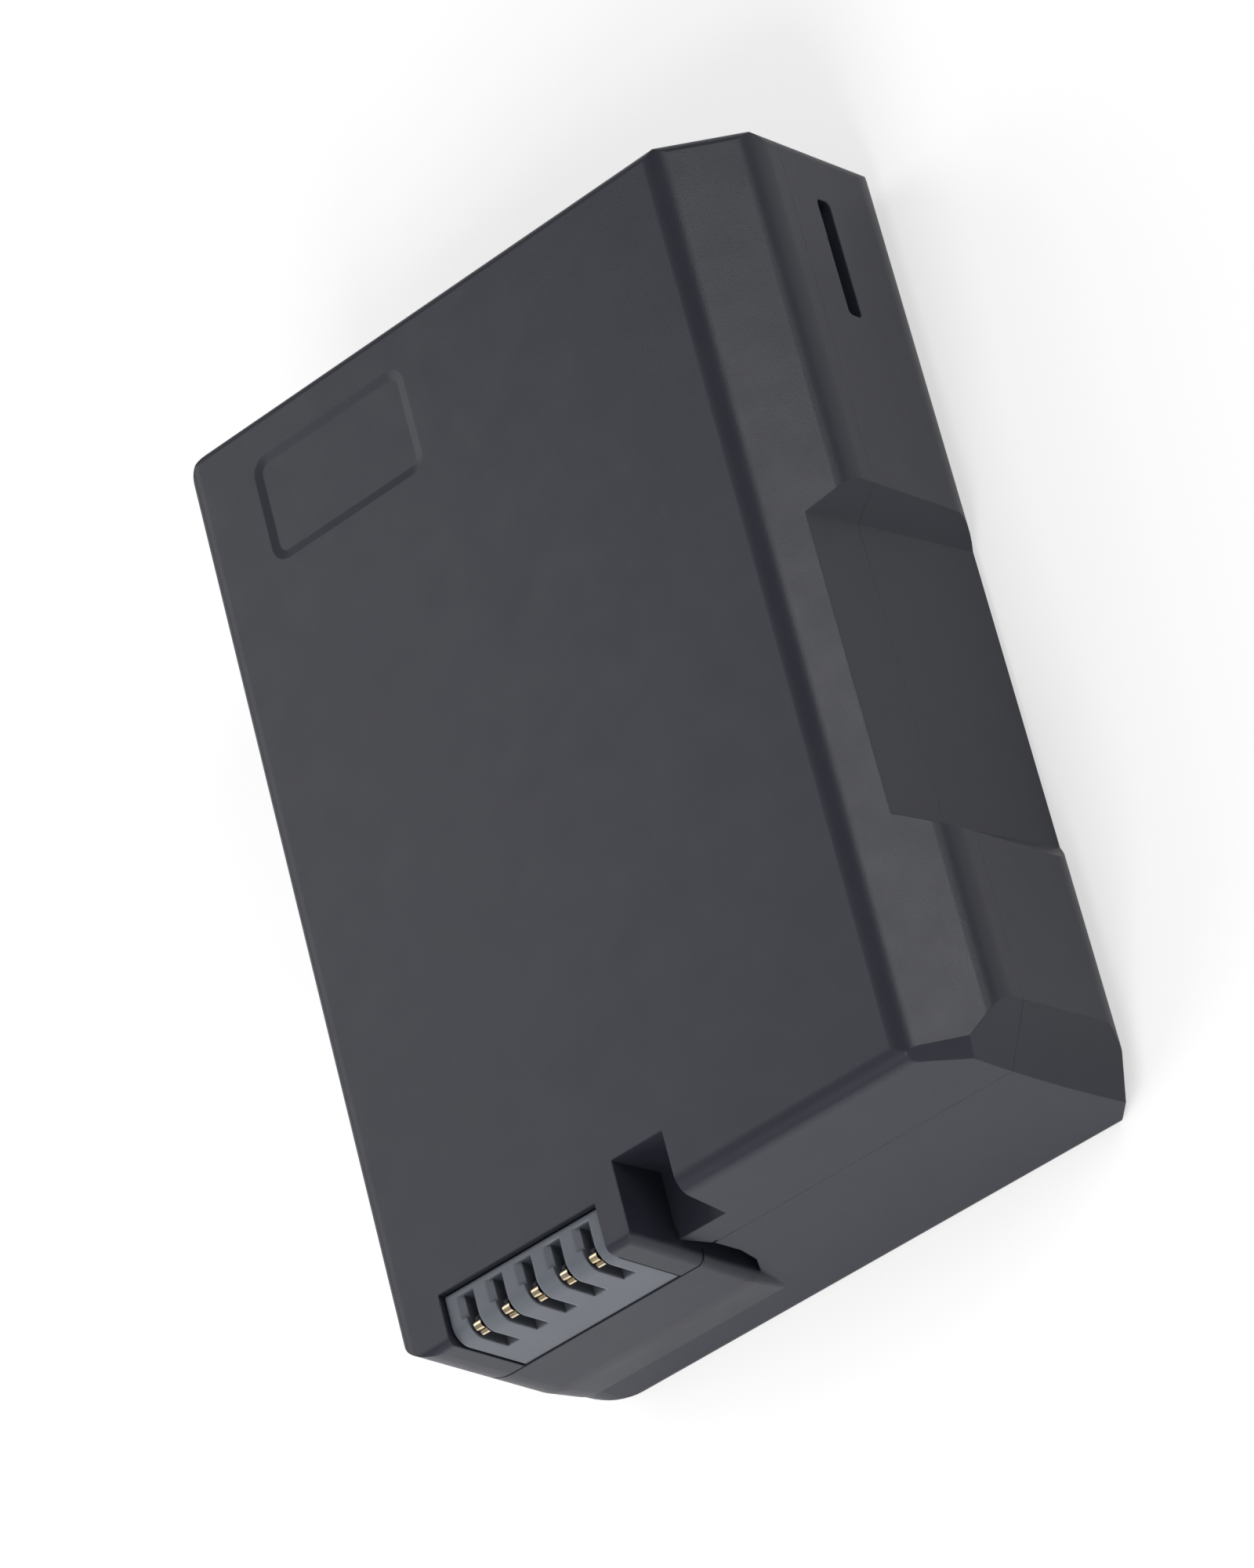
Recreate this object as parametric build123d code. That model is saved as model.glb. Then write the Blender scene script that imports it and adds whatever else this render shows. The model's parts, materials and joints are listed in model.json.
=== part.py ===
"""Two-cell rechargeable battery pack for a camera.

Millimetres, +Z up. The pack lies on its flat back at Z = 0 with the contact end at -Y and the
chamfered side, which carries the guide recess, at +X.
"""

import os
from math import atan, hypot, pi, sin, sqrt, tan

from build123d import *

# overall
LENGTH = 52.4
WIDTH = 37.2
THICKNESS = 14.0
WALL = 1.0
FRONT_DEPTH = 5.4

# outer rounding
BACK_R = 2.2
BACK_LEFT_R = 5.2
LEFT_FRONT_R = 1.1
FAR_FRONT_R = 0.55
FAR_LEFT_R = 2.2
FAR_RIGHT_R = 0.65

# chamfered strip along the right side
STRIP_RUN = 3.65
STRIP_TOP_R = 1.8
STRIP_LOW_R = 2.2
STRIP_SETBACK = 2.22

# guide recess in the right side
RECESS_START = 13.0
RECESS_LENGTH = 19.3
RECESS_RAMP = 1.5
RECESS_NEAR_RAMP = 1.2
RECESS_DEPTH_FRONT = 2.15
RECESS_DEPTH_BACK = 0.68

# lead-in at the contact corner: its slant grows from the back to the front
LEAD_LENGTH = 4.03
LEAD_SLOPE_FRONT = 0.894
LEAD_SLOPE_BACK = 0.075
CORNER_LEG = 2.2
CORNER_RUN = 8.2

# contact end, which leans back towards the front
END_LEAN = 0.13
END_R = 1.0
END_BACK_R = 0.4
END_LEFT_R = 2.7

# raised boss round the terminals
BOSS_INSET = 15.55
BOSS_SETBACK = 0.75
BOSS_LOW_SETBACK = 0.09
BOSS_LOW_Z = 4.7
BOSS_FADE_Z = 2.2
BOSS_R = 0.45
BOSS_LEFT_R = 2.45
BOSS_RIGHT_R = 0.5
BOSS_RIDGE_R = 6.0

# keying notch and groove beside the boss
NOTCH_WIDTH = 3.35
NOTCH_LENGTH = 4.95
NOTCH_DEPTH = 3.67
NOTCH_DRAFT = 0.25
GROOVE_WIDTH = 0.95
GROOVE_SETBACK = 1.9
GROOVE_LENGTH = 5.9

# shallow panel on the front
PANEL_INSET_X = 4.5
PANEL_INSET_Y = 2.3
PANEL_WIDTH = 10.75
PANEL_LENGTH = 6.1
PANEL_DEPTH = 0.1
PANEL_SLOPE = 1.0
PANEL_R = 1.0

# snap window in the right side
WINDOW_INSET = 3.08
WINDOW_LENGTH = 6.8
WINDOW_HEIGHT = 1.0
WINDOW_Z = 6.0
WINDOW_R = 0.3
HOOK_WIDTH = 1.2
HOOK_THICKNESS = 0.6
HOOK_BARB = 1.2
BARB_LOW = 0.15
BARB_HIGH = 0.7

# tongue that joins the two halves
TONGUE = 0.45
TONGUE_HEIGHT = 0.8
TONGUE_ROOT = 1.2
JOINT_GAP = 0.06
SEAM = 0.12
SEAM_DEPTH = 0.45

# terminal block
SLOT_COUNT = 5
SLOT_PITCH = 1.95
SLOT_WIDTH = 0.8
SLOT_END_DEPTH = 0.75
SLOT_BEND_DEPTH = 0.9
SLOT_BEND = 0.3
SLOT_FRONT_DEPTH = 1.3
SLOT_FRONT = 2.2
SLOT_DROP = 3.0
SLOT_MARGIN = 1.55
SLOT_RIM = 0.32
SLOT_RIM_DEPTH = 0.2
BLOCK_INSET = 3.35
BLOCK_WIDTH = 10.6
BLOCK_LENGTH = 3.4
BLOCK_GAP = 0.14
BLOCK_SINK = 0.3
BLOCK_END_SINK = 0.05
BLOCK_R = 1.0
BLOCK_FLANGE = 0.75
BLOCK_FLANGE_DROP = 1.0
BLOCK_FLOOR = 2.5

# contacts
CONTACT_THICKNESS = 0.3
CONTACT_WIDTH = 0.7
CONTACT_DROP = 1.8
CONTACT_REACH = 1.2
LOBE_R = 0.25
LOBE_WIDTH = 0.46
LOBE_SETBACK = 0.5
LOBE_DROP = 0.42
TIP_R = 0.19
TIP_REACH = 0.23
TIP_DROP = 0.34
CONTACT_FIT = 0.05

# circuit board and its components
BOARD_THICKNESS = 0.8
BOARD_GAP = 0.15
BOARD_TOP_GAP = 1.2
BOARD_LEFT_GAP = 1.6
BOARD_RIGHT_GAP = 4.1
BOARD_CORNER = 2.8
CHIP_SIZE = 3.0
CHIP_HEIGHT = 1.0
CHIP_EDGE = 0.1
CHIP_MARGIN = 3.1
CHIP_STEP = 4.6
SMALL_CHIP_LENGTH = 1.6
SMALL_CHIP_WIDTH = 0.8

# cells
TAPE = 0.15
CELL_TOP_GAP = 0.25
CELL_GAP = 0.2
CELL_SIDE_GAP = 0.12
CELL_CORNER = 4.0
CELL_EDGE_R = 0.6
FOAM = 0.8
LID_ROOM = 2.1
GASKET_R = 1.6
RIVET_R = 1.0
RIVET_RISE = 0.3
GASKET_SINK = 0.05
CARD = 0.25
CARD_MARGIN = 1.0
CARD_GAP = 0.1
TAPE_MARGIN = 3.0
STRIP_THICKNESS = 0.15
STRIP_WIDTH = 3.0
STRIP_LAP = 1.0
PLATE_WIDTH = 3.2
PLATE_HEIGHT = 4.6
CUTOFF_DEPTH = 1.0
CUTOFF_WIDTH = 3.4
CUTOFF_HEIGHT = 3.0
CUTOFF_RISE = 0.6
CUTOFF_LAP = 0.2

# levels and lines that follow from the sizes above
SIDE = WIDTH / 2
FAR = LENGTH / 2
NEAR = -LENGTH / 2
FRONT = THICKNESS
PARTING = THICKNESS - FRONT_DEPTH
END_FOOT = NEAR - END_BACK_R * (tan(pi / 4 + atan(END_LEAN) / 2) - 1)
BOSS_X = -SIDE + BOSS_INSET
BOSS_HEAD = NEAR + BOSS_SETBACK
BOSS_LOW = NEAR + BOSS_LOW_SETBACK
BOSS_LEAN = (BOSS_HEAD - BOSS_LOW) / (FRONT - BOSS_LOW_Z)
NOTCH_X = BOSS_X + NOTCH_WIDTH
NOTCH_Y = NEAR + NOTCH_LENGTH
NOTCH_Z = FRONT - NOTCH_DEPTH
LEAD_Y = NEAR + LEAD_LENGTH
BLOCK_LEFT = -SIDE + BLOCK_INSET
BLOCK_RIGHT = BLOCK_LEFT + BLOCK_WIDTH
BLOCK_Y = NEAR + BLOCK_LENGTH
OUTSIDE = 5.0
FAR_AWAY = 100.0


def inset(points, amount):
    """Corners of a counter-clockwise outline moved inwards by one amount."""
    lines = []
    for index, start in enumerate(points):
        finish = points[(index + 1) % len(points)]
        along = Vector(finish[0] - start[0], finish[1] - start[1]).normalized()
        lines.append((Vector(start[0] - along.Y * amount, start[1] + along.X * amount), along))
    corners = []
    for index, (base, along) in enumerate(lines):
        last_base, last_along = lines[index - 1]
        cross = last_along.X * along.Y - last_along.Y * along.X
        gap = base - last_base
        reach = (gap.X * along.Y - gap.Y * along.X) / cross
        corner = last_base + last_along * reach
        corners.append((corner.X, corner.Y))
    return corners


def outline(points, radii, amount=0.0):
    """Flat outline with its own radius at each corner, moved inwards by an amount."""
    corners = [Vector(*corner) for corner in inset(points, amount)]
    edges = []
    joins = []
    for index, corner in enumerate(corners):
        before = (corners[index - 1] - corner).normalized()
        after = (corners[(index + 1) % len(corners)] - corner).normalized()
        radius = radii[index] - amount
        if radius > 0.05:
            middle = (before + after).normalized()
            half = middle.get_angle(before) * pi / 180
            reach = radius / tan(half)
            first = corner + before * reach
            last = corner + after * reach
            top = corner + middle * (radius / sin(half) - radius)
            edges.append(Edge.make_three_point_arc(first, top, last))
            joins.append((first, last))
        else:
            joins.append((corner, corner))
    for index, (_, last) in enumerate(joins):
        edges.append(Edge.make_line(last, joins[(index + 1) % len(joins)][0]))
    return Face(Wire.combine(edges)[0])


def block(low, high):
    """Box between two opposite corners."""
    size = [high[axis] - low[axis] for axis in range(3)]
    middle = [(high[axis] + low[axis]) / 2 for axis in range(3)]
    return Pos(*middle) * Box(*size)


def upright(points, radii, amount=0.0):
    """Plan outline raised through the whole thickness."""
    return extrude(Plane.XY.offset(-THICKNESS) * outline(points, radii, amount), 3 * THICKNESS)


def along_y(points, radii, amount=0.0):
    """Outline in X and Z run along Y."""
    return extrude(Plane.XZ.offset(-LENGTH) * outline(points, radii, amount), 2 * LENGTH)


def along_x(points, radii, amount=0.0):
    """Outline in Y and Z run along X."""
    return extrude(Plane.YZ.offset(-WIDTH) * outline(points, radii, amount), 2 * WIDTH)


def column(levels):
    """Straight-ruled solid through plan outlines at rising heights."""
    faces = [Pos(0, 0, height) * outline(points, [0] * len(points)) for height, points in levels]
    return loft(faces, ruled=True)


def end_y(height):
    """Place of the leaning contact end at a height."""
    return END_FOOT + END_LEAN * height


def strip_room(amount):
    """Room under the chamfered strip, with the strip's far edge rounded."""
    across = Plane(origin=(0, 0, 0), x_dir=(0, 1, 0), z_dir=(1, 0, -1))
    height = (SIDE + FRONT - STRIP_RUN) / sqrt(2)
    points = [(-FAR_AWAY, -FAR_AWAY), (FAR, -FAR_AWAY), (FAR, height), (-FAR_AWAY, height)]
    face = outline(points, [0, 0, FAR_FRONT_R, 0], amount)
    return extrude(across.offset(-FAR_AWAY) * face, 2 * FAR_AWAY)


def facet(point, normal, amount):
    """Space outside a slanting face through a point."""
    face = Plane(origin=point, z_dir=normal).offset(-amount)
    return face * Pos(0, 0, OUTSIDE) * Box(4 * OUTSIDE, 4 * OUTSIDE, 2 * OUTSIDE)


def strip_end(amount):
    """Space outside the slanting face that ends the strip at the contact corner."""
    middle = (SIDE - STRIP_RUN / 2, NEAR + STRIP_SETBACK, FRONT - STRIP_RUN / 2)
    return facet(middle, (1, -sqrt(2), 1), amount)


def back_corner(amount):
    """Space outside the slanting face at the contact end of the right back edge."""
    return facet((SIDE - CORNER_LEG, NEAR, 0), (1, -CORNER_LEG / CORNER_RUN, -1), amount)


def upright_edge(x, turn, radius, low, high, amount):
    """Space outside a rounded upright edge that leans from a low to a high point in Y and Z."""
    radius = radius - amount
    x = x + turn * amount
    y = low[0] + amount
    reach = radius + 1
    square = Pos(x + turn * (reach / 2 - 1), y + reach / 2 - 1) * Rectangle(reach, reach)
    face = square - Pos(x + turn * radius, y + radius) * Circle(radius)
    lean = (0, high[0] - low[0], high[1] - low[1])
    return extrude(Pos(0, 0, low[1]) * face, hypot(lean[1], lean[2]), dir=lean)


def side_recess(amount):
    """Space of the guide recess, with its drafted floor and its slanting ends."""
    start = NEAR + RECESS_START - amount
    end = start + RECESS_LENGTH + 2 * amount
    outside = SIDE + OUTSIDE
    levels = []
    for height, depth in ((-1.0, RECESS_DEPTH_BACK), (FRONT + 1.0, RECESS_DEPTH_FRONT)):
        floor = SIDE - depth - amount
        points = [(floor, start + RECESS_NEAR_RAMP), (SIDE - amount, start), (outside, start)]
        points += [(outside, end), (SIDE - amount, end), (floor, end - RECESS_RAMP)]
        levels.append((height, points))
    return column(levels)


def lead_in(amount):
    """Space outside the slanting corner that guides the pack into its chamber."""
    low = NEAR - OUTSIDE
    outside = SIDE + OUTSIDE
    top = LEAD_Y + amount
    growth = (LEAD_SLOPE_FRONT - LEAD_SLOPE_BACK) / FRONT
    levels = []
    for height in (-1.0, FRONT + 1.0):
        slope = LEAD_SLOPE_BACK + growth * height
        corner = SIDE - amount * (1 + slope ** 2) ** 0.5 + amount * slope
        foot = corner - slope * (top - low)
        levels.append((height, [(foot, low), (outside, low), (outside, top), (corner, top)]))
    return column(levels)


def notch(amount):
    """Space of the keying notch, with its right wall drafted."""
    levels = []
    for height in (NOTCH_Z - amount, FRONT + OUTSIDE):
        right = NOTCH_X - NOTCH_DRAFT * (FRONT - height) / NOTCH_DEPTH + amount
        left = BOSS_X - amount
        back = NOTCH_Y + amount
        outside = NEAR - OUTSIDE
        levels.append((height, [(left, outside), (right, outside), (right, back), (left, back)]))
    return column(levels)


def groove(amount):
    """Space of the leaf-shaped groove that carries the notch down beside the boss."""
    low = NOTCH_Z - GROOVE_LENGTH
    points = [(BOSS_X, low), (BOSS_X + 0.77 * GROOVE_WIDTH, low + 0.19 * GROOVE_LENGTH)]
    points += [(BOSS_X + GROOVE_WIDTH, low + 0.42 * GROOVE_LENGTH)]
    points += [(BOSS_X + 0.82 * GROOVE_WIDTH, low + 0.7 * GROOVE_LENGTH), (BOSS_X, NOTCH_Z + 0.1)]
    solid = along_y(points, [0] * len(points), -amount)
    back = NEAR + GROOVE_SETBACK + amount
    return solid & block((-FAR_AWAY, NEAR - OUTSIDE, -OUTSIDE), (FAR_AWAY, back, FRONT + OUTSIDE))


def raised_boss(amount, sides):
    """Boss round the terminals, between the given sides of the pack."""
    fade = (end_y(BOSS_FADE_Z), BOSS_FADE_Z)
    ridge = (BOSS_LOW, BOSS_LOW_Z)
    head = (BOSS_HEAD, FRONT)
    points = [fade, (0, BOSS_FADE_Z), (0, FRONT), head, ridge]
    solid = sides & along_x(points, [0, 0, 0, BOSS_R, BOSS_RIDGE_R], amount)
    solid = solid & block((-FAR_AWAY, -FAR_AWAY, -OUTSIDE), (BOSS_X - amount, FAR_AWAY, FRONT + OUTSIDE))
    above = (BOSS_HEAD + BOSS_LEAN, FRONT + 1)
    for low, high in ((fade, ridge), (ridge, above)):
        for x, turn, radius in ((-SIDE, 1, BOSS_LEFT_R), (BOSS_X, -1, BOSS_RIGHT_R)):
            if radius > amount:
                solid = solid - upright_edge(x, turn, radius, low, high, amount)
    return solid


def envelope(amount=0.0, keyed=True):
    """Outer form of the pack moved inwards by an amount."""
    low = NEAR - OUTSIDE
    plan = [(-SIDE, low), (SIDE, low), (SIDE, FAR), (-SIDE, FAR)]
    strip = [(SIDE, FRONT - STRIP_RUN), (SIDE - STRIP_RUN, FRONT)]
    section = [(-SIDE, 0), (SIDE, 0)] + strip + [(-SIDE, FRONT)]
    section_r = [BACK_LEFT_R, BACK_R, STRIP_LOW_R, STRIP_TOP_R, LEFT_FRONT_R]
    sides = upright(plan, [0, 0, FAR_RIGHT_R, FAR_LEFT_R], amount)
    sides = sides & along_y(section, section_r, amount) & strip_room(amount)
    end = [(end_y(0), 0), (FAR, 0), (FAR, FRONT), (end_y(FRONT), FRONT)]
    body = sides & along_x(end, [END_BACK_R, BACK_R, FAR_FRONT_R, END_R], amount)
    if END_LEFT_R > amount:
        low = (end_y(-OUTSIDE), -OUTSIDE)
        high = (end_y(FRONT + OUTSIDE), FRONT + OUTSIDE)
        body = body - upright_edge(-SIDE, 1, END_LEFT_R, low, high, amount)
    body = body + raised_boss(amount, sides)
    body = body - side_recess(amount) - lead_in(amount) - groove(amount)
    body = body - strip_end(amount) - back_corner(amount)
    if keyed:
        body = body - notch(amount)
    return body


def slab(low, high):
    """Layer between two heights."""
    return block((-FAR_AWAY, -FAR_AWAY, low), (FAR_AWAY, FAR_AWAY, high))


def plate(points, thick, room=0.0):
    """Outline in Y and Z with a thickness centred on X = 0, widened all round by a clearance."""
    thick = thick + 2 * room
    return extrude(Plane.YZ.offset(-thick / 2) * outline(points, [0] * len(points), -room), thick)


def save(shape, name):
    """Write one piece of the pack."""
    shape.label = name
    export_step(shape, os.path.join("parts", name + ".step"))


os.makedirs("parts", exist_ok=True)

OUTER = envelope()
INNER = envelope(WALL)
SHELL = OUTER - INNER

# front half: upper shell with panel, terminal opening and snap hook
panel_x = -SIDE + PANEL_INSET_X + PANEL_WIDTH / 2
panel_y = FAR - PANEL_INSET_Y - PANEL_LENGTH / 2
panel_faces = []
for height in (-PANEL_DEPTH, PANEL_DEPTH):
    grow = PANEL_SLOPE * height / PANEL_DEPTH
    face = RectangleRounded(PANEL_WIDTH + grow, PANEL_LENGTH + grow, PANEL_R + grow / 2)
    panel_faces.append(Pos(panel_x, panel_y, FRONT + height) * face)
front_case = SHELL & slab(PARTING, FRONT + 1)
front_case = front_case - loft(panel_faces, ruled=True)

opening = block((BLOCK_LEFT, NEAR - 1, PARTING - 1), (BLOCK_RIGHT, BLOCK_Y, FRONT + 1))
front_case = front_case - opening
seam = block((-FAR_AWAY, NEAR - 1, PARTING - 1), (BOSS_X + 1, BOSS_HEAD + SEAM_DEPTH, PARTING + SEAM))
front_case = front_case - seam

window_y = FAR - WINDOW_INSET - WINDOW_LENGTH / 2
hook_y = window_y + WINDOW_LENGTH / 2 - HOOK_WIDTH
hook_x = SIDE - WALL - TONGUE - JOINT_GAP
hook_low = WINDOW_Z - WINDOW_HEIGHT / 2
hook_points = [(hook_x - HOOK_THICKNESS, hook_low), (hook_x, hook_low)]
hook_points += [(hook_x + HOOK_BARB, hook_low + BARB_LOW), (hook_x, hook_low + BARB_HIGH)]
hook_points += [(hook_x, FRONT - WALL / 2), (hook_x - HOOK_THICKNESS, FRONT - WALL / 2)]
hook = along_y(hook_points, [0] * len(hook_points))
hook = hook & block((0, hook_y - HOOK_WIDTH / 2, 0), (SIDE, hook_y + HOOK_WIDTH / 2, FRONT))
hook = hook & envelope(WALL / 2)
front_case = front_case + hook

# back half: lower shell with snap window and the tongue round its rim
back_case = SHELL & slab(-1, PARTING)
window = Rectangle(WINDOW_LENGTH, WINDOW_HEIGHT)
window = fillet(window.vertices(), WINDOW_R)
window = Plane.YZ.offset(SIDE) * Pos(window_y, WINDOW_Z) * window
back_case = back_case - extrude(window, 2 * WALL, both=True)

tongue_root = envelope(WALL, keyed=False) - envelope(WALL + TONGUE, keyed=False)
tongue_root = tongue_root & slab(PARTING - TONGUE_ROOT, PARTING)
tongue_top = envelope(WALL + JOINT_GAP, keyed=False) - envelope(WALL + TONGUE, keyed=False)
tongue_top = tongue_top & slab(PARTING, PARTING + TONGUE_HEIGHT)
tongue_top = tongue_top - notch(WALL + JOINT_GAP)
room_low = (BLOCK_LEFT - WALL - JOINT_GAP, NEAR - 1, PARTING)
tongue_top = tongue_top - block(room_low, (BLOCK_RIGHT + BLOCK_FLANGE, BLOCK_Y + 2 * WALL, FRONT))
back_case = back_case + tongue_root + tongue_top

# terminal block: insert that wraps the front edge of the boss, with a flange under the front wall
block_low = PARTING + SEAM
block_top = FRONT - BLOCK_SINK
low_y = BOSS_HEAD - BOSS_LEAN * (FRONT - block_low) + BLOCK_END_SINK
top_y = BOSS_HEAD - BOSS_LEAN * BLOCK_SINK + BLOCK_END_SINK
block_back = BLOCK_Y - BLOCK_GAP
block_points = [(low_y, block_low), (block_back, block_low), (block_back, block_top), (top_y, block_top)]
core = along_x(block_points, [0, 0, 0, BLOCK_R])
core_low = (BLOCK_LEFT + BLOCK_GAP, NEAR - 1, PARTING)
core = core & block(core_low, (BLOCK_RIGHT - BLOCK_GAP, BLOCK_Y, FRONT))
flange_top = FRONT - WALL - JOINT_GAP
flange_right = min(BLOCK_RIGHT + BLOCK_FLANGE, BOSS_X - WALL - JOINT_GAP)
flange_low = (BLOCK_LEFT - BLOCK_FLANGE, NEAR + BLOCK_FLOOR, flange_top - BLOCK_FLANGE_DROP)
flange = block(flange_low, (flange_right, BLOCK_Y + BLOCK_FLANGE, flange_top))
terminal_block = core + flange

# slots: deep on the front, with a bridge at the bend that carries the contact
slot_end = FRONT - SLOT_DROP
slot_back = BOSS_HEAD + SLOT_FRONT
bridge_y = BOSS_HEAD + SLOT_END_DEPTH
bridge_z = FRONT - SLOT_BEND_DEPTH
floor_z = FRONT - SLOT_FRONT_DEPTH
floor_y = bridge_y + SLOT_BEND + bridge_z - floor_z
slot_points = [(NEAR - OUTSIDE, slot_end), (bridge_y, slot_end), (bridge_y, bridge_z - SLOT_BEND)]
slot_points += [(bridge_y + SLOT_BEND, bridge_z), (floor_y, floor_z), (slot_back, floor_z)]
slot_points += [(slot_back, FRONT + 1), (NEAR - OUTSIDE, FRONT + 1)]
slot_cut = plate(slot_points, SLOT_WIDTH)
rim_left = -SLOT_WIDTH / 2 - SLOT_RIM
rim_points = [(rim_left, block_top), (0, block_top - SLOT_RIM_DEPTH - SLOT_RIM), (0, block_top + 1)]
rim_points.append((rim_left, block_top + 1))
rim_room = block((-FAR_AWAY, top_y + BLOCK_R, 0), (FAR_AWAY, slot_back, FAR_AWAY))
rim_cut = along_y(rim_points, [0] * len(rim_points)) & rim_room

# contacts: arms that run from the board to the bend of each slot and end in two rounded lobes
board_front = NOTCH_Y + WALL + BOARD_GAP
tail_high = FRONT - CONTACT_DROP
tail_low = tail_high - CONTACT_WIDTH
stem = BOSS_HEAD + CONTACT_REACH
lobe = (BOSS_HEAD + LOBE_SETBACK, block_top - LOBE_DROP)
tip = (lobe[0] - TIP_REACH, lobe[1] - TIP_DROP)


def bead(centre, radius, room):
    """Rounded bead across a contact, widened by a clearance."""
    width = LOBE_WIDTH + 2 * room
    return extrude(Plane.YZ.offset(-width / 2) * Pos(*centre) * Circle(radius + room), width)


def blade(room):
    """Contact with its tail on the board, widened all round by a clearance."""
    tail = [(stem, tail_low), (board_front, tail_low), (board_front, tail_high), (stem, tail_high)]
    arm = [(stem, tail_low), (stem + CONTACT_WIDTH, tail_high), (lobe[0] + TIP_R / 2, lobe[1]), tip]
    solid = plate(tail, CONTACT_THICKNESS, room) + plate(arm, CONTACT_THICKNESS, room)
    return solid + bead(lobe, LOBE_R, room) + bead(tip, TIP_R, room)


contact_shape = blade(0.0)
contact_room = blade(CONTACT_FIT)
contacts = []
for index in range(SLOT_COUNT):
    place = Pos(BLOCK_LEFT + SLOT_MARGIN + index * SLOT_PITCH, 0, 0)
    terminal_block = terminal_block - place * slot_cut - place * rim_cut - place * contact_room
    contacts.append(place * contact_shape)

# circuit board between the keying notch and the cells, standing on the floor of the back half
board_back = board_front + BOARD_THICKNESS
board_left = -SIDE + WALL + BOARD_LEFT_GAP
board_right = SIDE - BOARD_RIGHT_GAP
board_top = FRONT - WALL - BOARD_TOP_GAP
circuit_board = block((board_left, board_front, WALL), (board_right, board_back, board_top))
board_corner = circuit_board.edges().filter_by(Axis.Y).sort_by(Axis.Z)[:2].sort_by(Axis.X)[0]
circuit_board = chamfer(board_corner, BOARD_CORNER)
high_row = WALL + 1.7 * CHIP_SIZE
low_row = WALL + 0.75 * CHIP_SIZE
columns = [board_right - CHIP_MARGIN - step * CHIP_STEP for step in range(4)]


def chip(width, height, depth, x, z):
    """Packaged component on the contact side of the board."""
    low = (x - width / 2, board_front - depth, z - height / 2)
    body = block(low, (x + width / 2, board_front, z + height / 2))
    return chamfer(body.faces().sort_by(Axis.Y)[0].edges(), CHIP_EDGE)


small = (SMALL_CHIP_LENGTH, SMALL_CHIP_WIDTH, SMALL_CHIP_WIDTH)
wide = (2 * SMALL_CHIP_LENGTH, 2 * SMALL_CHIP_WIDTH, SMALL_CHIP_WIDTH)
chips = {
    "protection_chip": chip(CHIP_SIZE, CHIP_SIZE, CHIP_HEIGHT, columns[2], high_row),
    "identity_chip": chip(CHIP_SIZE, CHIP_SIZE, 0.9 * CHIP_HEIGHT, columns[1], high_row),
    "switch_pair": chip(1.4 * CHIP_SIZE, CHIP_SIZE, CHIP_HEIGHT, columns[3], low_row),
    "sense_resistor": chip(*wide, columns[2], low_row - SMALL_CHIP_WIDTH / 2),
    "thermistor": chip(*small, columns[0], high_row),
    "filter_capacitor": chip(*small, columns[1], low_row),
    "bypass_capacitor": chip(*small, columns[0], low_row),
}

# cells lying side by side on adhesive pads, lids towards the board
cell_low = WALL + TAPE
cell_high = FRONT - WALL - CELL_TOP_GAP
cells_left = -SIDE + WALL + TONGUE + CELL_SIDE_GAP
cells_right = SIDE - RECESS_DEPTH_FRONT - WALL - TONGUE - CELL_SIDE_GAP
cell_width = (cells_right - cells_left - CELL_GAP) / 2
cell_height = cell_high - cell_low
cell_z = (cell_high + cell_low) / 2
lid_y = board_back + LID_ROOM
cell_far = FAR - WALL - FOAM
cell_length = cell_far - lid_y
cell_middle = (cells_left + cells_right) / 2
cell_x = [cell_middle - (CELL_GAP + cell_width) / 2, cell_middle + (CELL_GAP + cell_width) / 2]


def cell(x):
    """Sealed prismatic can with rounded long edges."""
    face = RectangleRounded(cell_width, cell_height, CELL_CORNER)
    can = extrude(Plane.XZ.offset(-cell_far) * Pos(x, cell_z) * face, cell_length)
    return fillet(can.faces().sort_by(Axis.Y)[-1].edges(), CELL_EDGE_R)


def disc(radius, x, start, reach, bore=0.0):
    """Round piece on a cell lid, facing the board."""
    face = Circle(radius)
    if bore > 0:
        face = face - Circle(bore)
    return extrude(Plane.XZ.offset(-start) * Pos(x, cell_z) * face, reach)


def flat_strip(left, right, low, high, start, thick):
    """Thin flat piece standing across the lids."""
    return block((left, start - thick, low), (right, start, high))


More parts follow.
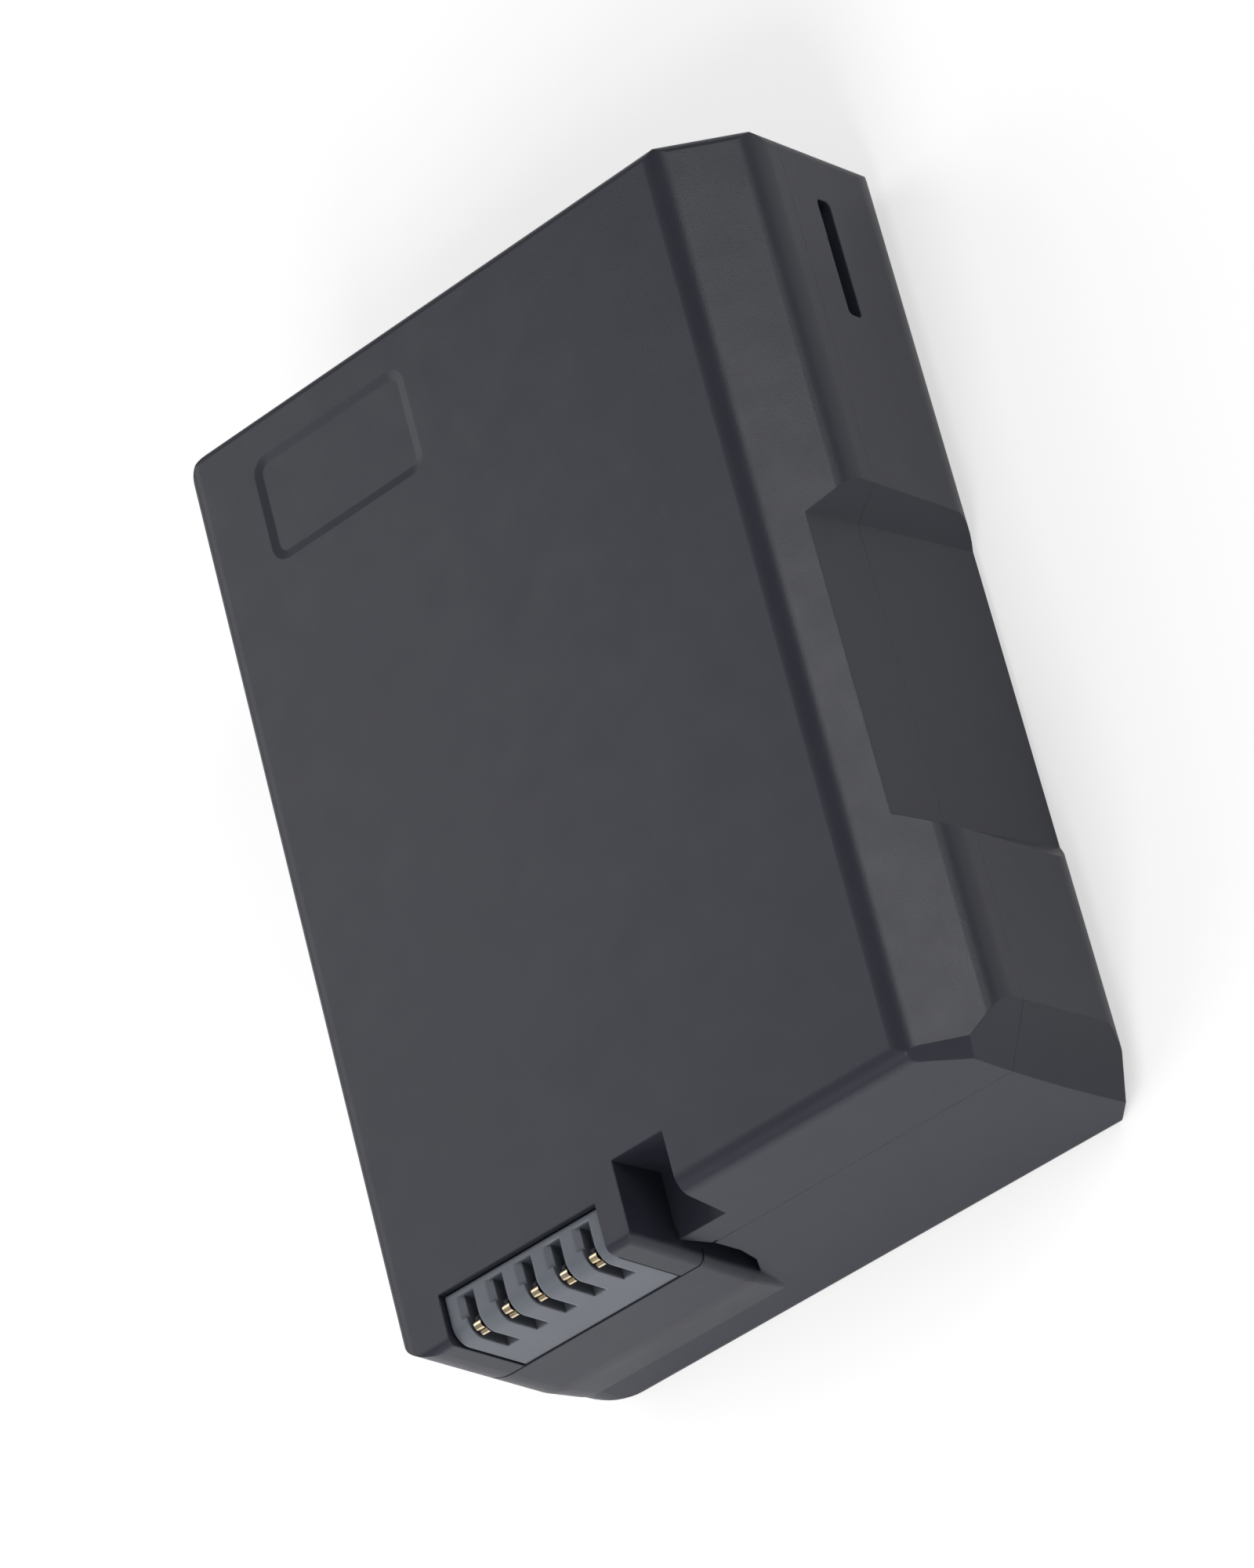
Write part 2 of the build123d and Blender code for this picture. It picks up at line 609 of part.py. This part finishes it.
weld_y = lid_y - RIVET_RISE
plate_x = [cell_x[0] + cell_width / 2 - PLATE_WIDTH, cell_x[1] + cell_width / 2 - PLATE_WIDTH]
card_low = cell_low + CARD_MARGIN
card_high = cell_high - CARD_MARGIN
card = flat_strip(cells_left + CARD_MARGIN, cells_right - CARD_MARGIN, card_low, card_high, lid_y, CARD)
half = STRIP_WIDTH / 2
pieces = {}
for side, x, weld_x in zip(("left", "right"), cell_x, plate_x):
    pieces[side + "_cell"] = cell(x)
    pieces[side + "_gasket"] = disc(GASKET_R, x, lid_y, RIVET_RISE - GASKET_SINK, RIVET_R)
    pieces[side + "_rivet"] = disc(RIVET_R, x, lid_y, RIVET_RISE)
    weld = [weld_x - PLATE_WIDTH / 2, weld_x + PLATE_WIDTH / 2]
    weld += [cell_z - PLATE_HEIGHT / 2, cell_z + PLATE_HEIGHT / 2]
    pieces[side + "_lid_plate"] = flat_strip(*weld, lid_y, RIVET_RISE)
    pad_low = (x - cell_width / 2 + CELL_CORNER, lid_y + TAPE_MARGIN, WALL)
    pad_high = (x + cell_width / 2 - CELL_CORNER, cell_far - TAPE_MARGIN, cell_low)
    pieces[side + "_cell_tape"] = block(pad_low, pad_high)
    hole = [weld[0] - CARD_GAP, weld[1] + CARD_GAP, weld[2] - CARD_GAP, weld[3] + CARD_GAP]
    card = card - disc(GASKET_R + CARD_GAP, x, lid_y + CARD, 3 * CARD)
    card = card - flat_strip(*hole, lid_y + CARD, 3 * CARD)

low_z = cell_z - half
high_z = cell_z + half
tab_x = board_left + STRIP_LAP
negative_strip = flat_strip(tab_x, cell_x[0] + STRIP_LAP, low_z, high_z, weld_y, STRIP_THICKNESS)
tab_end = (tab_x + STRIP_THICKNESS, weld_y, high_z)
negative_strip = negative_strip + block((tab_x, board_back, low_z), tab_end)
series_left = plate_x[0] - STRIP_LAP
series_strip = flat_strip(series_left, cell_x[1] + STRIP_LAP, low_z, high_z, weld_y, STRIP_THICKNESS)
tap_x = cell_middle + STRIP_LAP
tap_end = (tap_x + STRIP_THICKNESS, weld_y, cell_z + half / 2)
series_strip = series_strip + block((tap_x, board_back, cell_z - half / 2), tap_end)
cutoff_y = weld_y - STRIP_THICKNESS - CUTOFF_DEPTH
cutoff_low = cell_low + CUTOFF_RISE
cutoff_high = cutoff_low + CUTOFF_HEIGHT
cutoff_left = plate_x[1] - CUTOFF_WIDTH / 2
cutoff_end = (cutoff_left + CUTOFF_WIDTH, weld_y - STRIP_THICKNESS, cutoff_high)
cutoff = block((cutoff_left, cutoff_y, cutoff_low), cutoff_end)
last = (plate_x[1] - half, plate_x[1] + half)
positive_strip = flat_strip(*last, cutoff_low - CUTOFF_LAP, high_z, weld_y, STRIP_THICKNESS)
board_strip = flat_strip(*last, cutoff_low, cutoff_high, cutoff_y, cutoff_y - board_back)

foam_top = PARTING - TONGUE_ROOT - JOINT_GAP
foam_low = BACK_R + JOINT_GAP
foam_end = (cells_right - CARD_MARGIN, FAR - WALL, foam_top)
foam_pad = block((cells_left + CARD_MARGIN, cell_far, foam_low), foam_end)
spacer_low = (cell_middle - CELL_GAP / 2, lid_y + CARD_MARGIN, cell_low + CELL_CORNER)
spacer_end = (cell_middle + CELL_GAP / 2, cell_far - CARD_MARGIN, cell_high - CELL_CORNER)
cell_spacer = block(spacer_low, spacer_end)

save(front_case, "front_case")
save(back_case, "back_case")
save(terminal_block, "terminal_block")
for index, contact in enumerate(contacts):
    save(contact, "contact_" + str(index + 1))
save(circuit_board, "circuit_board")
for name, shape in chips.items():
    save(shape, name)
for name, shape in pieces.items():
    save(shape, name)
save(card, "lid_card")
save(negative_strip, "negative_strip")
save(series_strip, "series_strip")
save(positive_strip, "positive_strip")
save(board_strip, "board_strip")
save(cutoff, "thermal_cutoff")
save(foam_pad, "foam_pad")
save(cell_spacer, "cell_spacer")
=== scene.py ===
import json
from math import pi

import bpy
from mathutils import Matrix, Vector

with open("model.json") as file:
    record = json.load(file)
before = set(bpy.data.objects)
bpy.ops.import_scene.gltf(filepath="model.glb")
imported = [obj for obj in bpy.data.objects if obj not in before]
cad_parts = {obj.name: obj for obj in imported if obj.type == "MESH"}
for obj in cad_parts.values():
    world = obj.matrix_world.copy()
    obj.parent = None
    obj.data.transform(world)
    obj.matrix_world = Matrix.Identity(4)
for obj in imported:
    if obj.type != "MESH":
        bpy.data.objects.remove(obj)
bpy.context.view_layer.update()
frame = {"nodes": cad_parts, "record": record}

NODES = frame["nodes"]
WHITE = (1.0, 1.0, 1.0, 1.0)

# noise scales, in waves per metre
CLOUD_SCALE = 160.0
GLOSS_SCALE = 420.0
WEAR_AND_HIGHLIGHT_SCALE = 700.0
TARNISH_SCALE = 900.0
ROLLED_SCALE = 2500.0
MOULD_SCALE = 9000.0

# surface relief: strength, and depth in metres
MOULD_RELIEF = (0.16, 0.00004)
METAL_RELIEF = (0.1, 0.00002)
PLAIN_DEPTH = 0.00005

# turn of the softened normal where the lighter edges, partly rubbing and partly
# painted highlight, start and are full
RUB_AND_HIGHLIGHT_START = 0.02
RUB_AND_HIGHLIGHT_FULL = 0.25

# painted shade in hollows: open share that counts as dark and as clear, reach in
# metres
PAINTED_SHADE_FULL = 0.35
PAINTED_SHADE_NONE = 0.7
SLOT_SHADE_REACH = 0.0012
CONTACT_SHADE_REACH = 0.0008


def node(tree, kind, **values):
    """One shader node with the given properties."""
    made = tree.nodes.new(kind)
    for key, value in values.items():
        setattr(made, key, value)
    return made


def noise(tree, scale, detail=3.0, rough=0.55, stretch=None):
    """Noise in object coordinates."""
    place = node(tree, "ShaderNodeTexCoord")
    vector = place.outputs["Object"]
    if stretch:
        mapping = node(tree, "ShaderNodeMapping")
        mapping.inputs["Scale"].default_value = stretch
        tree.links.new(vector, mapping.inputs["Vector"])
        vector = mapping.outputs["Vector"]
    made = node(tree, "ShaderNodeTexNoise")
    tree.links.new(vector, made.inputs["Vector"])
    made.inputs["Scale"].default_value = scale
    made.inputs["Detail"].default_value = detail
    made.inputs["Roughness"].default_value = rough
    return made.outputs["Fac"]


def span(tree, fac, low, high, start=0.3, end=0.7):
    """Map a value from start and end onto low and high."""
    made = node(tree, "ShaderNodeMapRange")
    tree.links.new(fac, made.inputs["Value"])
    made.inputs["From Min"].default_value = start
    made.inputs["From Max"].default_value = end
    made.inputs["To Min"].default_value = low
    made.inputs["To Max"].default_value = high
    return made.outputs["Result"]


def blend(tree, fac, first, second):
    """Mix two colours, each a socket or three numbers, by a value."""
    made = node(tree, "ShaderNodeMix", data_type="RGBA")
    tree.links.new(fac, made.inputs["Factor"])
    sockets = [s for s in made.inputs if s.type == "RGBA"]
    for target, value in zip(sockets, (first, second)):
        if hasattr(value, "is_output"):
            tree.links.new(value, target)
        else:
            target.default_value = (*value, 1.0)
    return [s for s in made.outputs if s.type == "RGBA"][0]


def edges(tree, bevel):
    """1 along outside and inside edges, 0 on open faces."""
    geometry = node(tree, "ShaderNodeNewGeometry")
    dot = node(tree, "ShaderNodeVectorMath", operation="DOT_PRODUCT")
    tree.links.new(bevel.outputs["Normal"], dot.inputs[0])
    tree.links.new(geometry.outputs["Normal"], dot.inputs[1])
    turn = node(tree, "ShaderNodeMath", operation="SUBTRACT")
    turn.inputs[0].default_value = 1.0
    tree.links.new(dot.outputs["Value"], turn.inputs[1])
    return span(tree, turn.outputs["Value"], 0.0, 1.0, RUB_AND_HIGHLIGHT_START, RUB_AND_HIGHLIGHT_FULL)


def paint_shade(tree, colour, painted_shade_colour, reach):
    """Paint shade into a colour where walls stand close by."""
    shade = node(tree, "ShaderNodeAmbientOcclusion", samples=8)
    shade.inputs["Distance"].default_value = reach
    clear = span(tree, shade.outputs["AO"], 0.0, 1.0, PAINTED_SHADE_FULL, PAINTED_SHADE_NONE)
    return blend(tree, clear, painted_shade_colour, colour)


def material(name, metallic=0.0):
    """New node material with its main shader."""
    made = bpy.data.materials.new(name)
    made.use_nodes = True
    tree = made.node_tree
    shader = tree.nodes["Principled BSDF"]
    shader.inputs["Metallic"].default_value = metallic
    shader.inputs["IOR"].default_value = 1.5
    return made, tree, shader


def grain(tree, shader, scale, strength, depth, bevel=None):
    """Fine surface relief, over softened edges when a bevel is given."""
    bump = node(tree, "ShaderNodeBump")
    bump.inputs["Strength"].default_value = strength
    bump.inputs["Distance"].default_value = depth
    height = noise(tree, scale, detail=4.0, rough=0.6)
    tree.links.new(height, bump.inputs["Height"])
    if bevel:
        tree.links.new(bevel.outputs["Normal"], bump.inputs["Normal"])
    tree.links.new(bump.outputs["Normal"], shader.inputs["Normal"])


def plastic(name, dark, light, wear_and_highlight, rough, radius, painted_shade_colour=None):
    """Moulded plastic: cloudy, finely textured, lighter at the edges, partly
    rubbed and partly painted highlight.

    Its hollows get painted shade where a colour is given for them.
    """
    made, tree, shader = material(name)
    bevel = node(tree, "ShaderNodeBevel", samples=5)
    bevel.inputs["Radius"].default_value = radius
    cloud = span(tree, noise(tree, CLOUD_SCALE, 4.0), 0.0, 1.0)
    speck = span(tree, noise(tree, MOULD_SCALE, 2.0), 0.0, 1.0)
    base = blend(tree, cloud, dark, light)
    fine = blend(tree, span(tree, speck, 0.0, 0.35, 0.0, 1.0), base, light)
    rub_and_highlight_mask = node(tree, "ShaderNodeMath", operation="MULTIPLY")
    rub_and_highlight_patches = span(tree, noise(tree, WEAR_AND_HIGHLIGHT_SCALE, 5.0), 0.1, 0.75)
    tree.links.new(edges(tree, bevel), rub_and_highlight_mask.inputs[0])
    tree.links.new(rub_and_highlight_patches, rub_and_highlight_mask.inputs[1])
    # edges lighter by rubbing and by painted highlight
    colour = blend(tree, rub_and_highlight_mask.outputs["Value"], fine, wear_and_highlight)
    # painted shade: darker where walls stand close, in slots and hollows
    if painted_shade_colour:
        colour = paint_shade(tree, colour, painted_shade_colour, SLOT_SHADE_REACH)
    tree.links.new(colour, shader.inputs["Base Color"])
    gloss = noise(tree, GLOSS_SCALE, 5.0)
    smooth = span(tree, gloss, rough - 0.03, rough + 0.03)
    tree.links.new(smooth, shader.inputs["Roughness"])
    grain(tree, shader, MOULD_SCALE, *MOULD_RELIEF, bevel)
    return made


def metal(name, dark, light, rough, scale=ROLLED_SCALE, stretch=None,
          painted_shade_colour=None):
    """Plated or rolled metal with fine marks, and painted shade in its hollows
    where a colour is given for them.
    """
    made, tree, shader = material(name, metallic=1.0)
    tarnish = noise(tree, TARNISH_SCALE, 4.0, stretch=stretch)
    colour = blend(tree, span(tree, tarnish, 0.0, 1.0), dark, light)
    # painted shade: darker where walls stand close around the contacts
    if painted_shade_colour:
        colour = paint_shade(tree, colour, painted_shade_colour, CONTACT_SHADE_REACH)
    tree.links.new(colour, shader.inputs["Base Color"])
    marks = noise(tree, scale, 4.0, stretch=stretch)
    smooth = span(tree, marks, rough - 0.06, rough + 0.08)
    tree.links.new(smooth, shader.inputs["Roughness"])
    grain(tree, shader, scale, *METAL_RELIEF)
    return made


def plain(name, dark, light, rough, scale, strength=0.3):
    """Paper, tape, foam, board and other inner pieces."""
    made, tree, shader = material(name)
    cloud = span(tree, noise(tree, scale, 5.0), 0.0, 1.0)
    colour = blend(tree, cloud, dark, light)
    tree.links.new(colour, shader.inputs["Base Color"])
    gloss = noise(tree, scale * 0.5, 4.0)
    smooth = span(tree, gloss, rough - 0.08, rough + 0.08)
    tree.links.new(smooth, shader.inputs["Roughness"])
    grain(tree, shader, scale * 2, strength, PLAIN_DEPTH)
    return made


MATERIALS = {
    "case": plastic(
        "case",
        dark=(0.028, 0.0298, 0.0435),
        light=(0.031, 0.033, 0.0475),
        wear_and_highlight=(0.04, 0.042, 0.056),
        rough=0.34,
        radius=0.0001,
    ),
    "terminal_plastic": plastic(
        "terminal_plastic",
        dark=(0.13, 0.143, 0.168),
        light=(0.15, 0.164, 0.19),
        # bright edges: rubbing, and painted highlight on the slot rims
        wear_and_highlight=(0.4, 0.43, 0.47),
        rough=0.4,
        radius=0.0002,
        # painted shade in the slots
        painted_shade_colour=(0.075, 0.083, 0.1),
    ),
    "contact_metal": metal(
        "contact_metal",
        dark=(1.0, 0.78, 0.5),
        light=(1.0, 0.88, 0.68),
        rough=0.2,
        # painted shade around the beads
        painted_shade_colour=(0.2, 0.13, 0.06),
    ),
    "board": plain(
        "board",
        dark=(0.015, 0.1, 0.04),
        light=(0.03, 0.16, 0.07),
        rough=0.4,
        scale=600.0,
    ),
    "component": plain(
        "component",
        dark=(0.012, 0.012, 0.013),
        light=(0.03, 0.03, 0.032),
        rough=0.55,
        scale=1500.0,
    ),
    "cell_can": metal(
        "cell_can",
        dark=(0.62, 0.63, 0.65),
        light=(0.75, 0.76, 0.78),
        rough=0.38,
        scale=1500.0,
        stretch=(1.0, 0.05, 1.0),
    ),
    "nickel": metal(
        "nickel",
        dark=(0.6, 0.58, 0.54),
        light=(0.74, 0.72, 0.68),
        rough=0.34,
    ),
    "insulation": plain(
        "insulation",
        dark=(0.45, 0.38, 0.25),
        light=(0.6, 0.53, 0.38),
        rough=0.8,
        scale=900.0,
    ),
    "tape": plain(
        "tape",
        dark=(0.7, 0.7, 0.68),
        light=(0.8, 0.8, 0.78),
        rough=0.7,
        scale=700.0,
    ),
    "foam": plain(
        "foam",
        dark=(0.02, 0.02, 0.02),
        light=(0.05, 0.05, 0.05),
        rough=0.9,
        scale=1200.0,
        strength=0.8,
    ),
    "gasket_plastic": plain(
        "gasket_plastic",
        dark=(0.7, 0.7, 0.68),
        light=(0.85, 0.85, 0.83),
        rough=0.5,
        scale=1200.0,
    ),
}

SLOTS = {row["node"]: row["material_slot"] for row in frame["record"]["subparts"]}
for name, piece in NODES.items():
    piece.data.materials.clear()
    piece.data.materials.append(MATERIALS[SLOTS[name]])

# floor, which shows as white and keeps the shadow
FLOOR_SIZE = 6.0
FLOOR_DROP = 0.00002
FLOOR_GREY = 0.8
FLOOR_SEEN = 0.5
FLOOR_MIRRORED = 0.14
bpy.ops.mesh.primitive_plane_add(size=FLOOR_SIZE, location=(0, 0, -FLOOR_DROP))
floor = bpy.context.object
floor.name = "floor"
paper, tree, shader = material("floor")
shader.inputs["Base Color"].default_value = (*[FLOOR_GREY] * 3, 1.0)
shader.inputs["Roughness"].default_value = 0.95
shader.inputs["Specular IOR Level"].default_value = 0.0
path = node(tree, "ShaderNodeLightPath")
direct = node(tree, "ShaderNodeMath", operation="ADD")
tree.links.new(path.outputs["Is Camera Ray"], direct.inputs[0])
tree.links.new(path.outputs["Is Transmission Ray"], direct.inputs[1])
seen = node(tree, "ShaderNodeMath", operation="MULTIPLY")
tree.links.new(direct.outputs["Value"], seen.inputs[0])
seen.inputs[1].default_value = FLOOR_SEEN
lift = node(tree, "ShaderNodeMath", operation="MULTIPLY_ADD")
tree.links.new(path.outputs["Is Glossy Ray"], lift.inputs[0])
lift.inputs[1].default_value = FLOOR_MIRRORED
tree.links.new(seen.outputs["Value"], lift.inputs[2])
shader.inputs["Emission Color"].default_value = WHITE
tree.links.new(lift.outputs["Value"], shader.inputs["Emission Strength"])
floor.data.materials.append(paper)

# soft studio light
SKY_STRENGTH = 0.22
world = bpy.data.worlds.new("studio")
bpy.context.scene.world = world
world.use_nodes = True
sky = world.node_tree.nodes["Background"]
sky.inputs["Color"].default_value = WHITE
sky.inputs["Strength"].default_value = SKY_STRENGTH


def softbox(name, direction, distance, width, height, level):
    """Rectangular lamp that faces the pack.

    The level is its brightness as seen in a mirror.
    """
    lamp = bpy.data.lights.new(name, "AREA")
    lamp.shape = "RECTANGLE"
    lamp.size = width
    lamp.size_y = height
    lamp.energy = level * width * height * pi
    made = bpy.data.objects.new(name, lamp)
    bpy.context.collection.objects.link(made)
    made.location = Vector(direction).normalized() * distance
    made.rotation_euler = (-made.location).to_track_quat("-Z", "Y").to_euler()
    return made


softbox("top_left", (-0.718, 0.35, 0.602), 0.309, 0.22, 0.22, 1.11)
softbox("right", (0.77, 0.27, 0.6), 0.28, 0.16, 0.11, 2.9)
softbox("front_fill", (0.0, -0.75, 0.66), 0.4, 0.2, 0.2, 4.5)
low_box = softbox("contact_end", (-0.71, -0.65, 0.3), 0.17, 0.1, 0.06, 4.3)
# mirrored, it would draw a bright line along the end's front edge
low_box.visible_glossy = False

# camera at the photograph's angle, fitted to its outline
CAMERA_PLACE = Vector((0.19707, -0.16146, 0.28408))
CAMERA_RIGHT = Vector((0.72096, -0.23333, -0.65251))
CAMERA_DOWN = Vector((-0.45083, -0.87303, -0.18594))
CAMERA_FORWARD = Vector((-0.52628, 0.42823, -0.73461))
FOCAL_PIXELS = 9688.08
PHOTO_HEIGHT = 2000.0
SENSOR = 36.0
camera_data = bpy.data.cameras.new("camera")
camera = bpy.data.objects.new("camera", camera_data)
bpy.context.collection.objects.link(camera)
matrix = Matrix.Identity(4)
for column, axis in enumerate((CAMERA_RIGHT, -CAMERA_DOWN, -CAMERA_FORWARD)):
    for row in range(3):
        matrix[row][column] = axis[row]
matrix.translation = CAMERA_PLACE
camera.matrix_world = matrix
camera_data.sensor_width = SENSOR
camera_data.lens = FOCAL_PIXELS * SENSOR / PHOTO_HEIGHT
camera_data.clip_start = 0.01
bpy.context.scene.camera = camera

bpy.context.scene.view_settings.view_transform = "Standard"
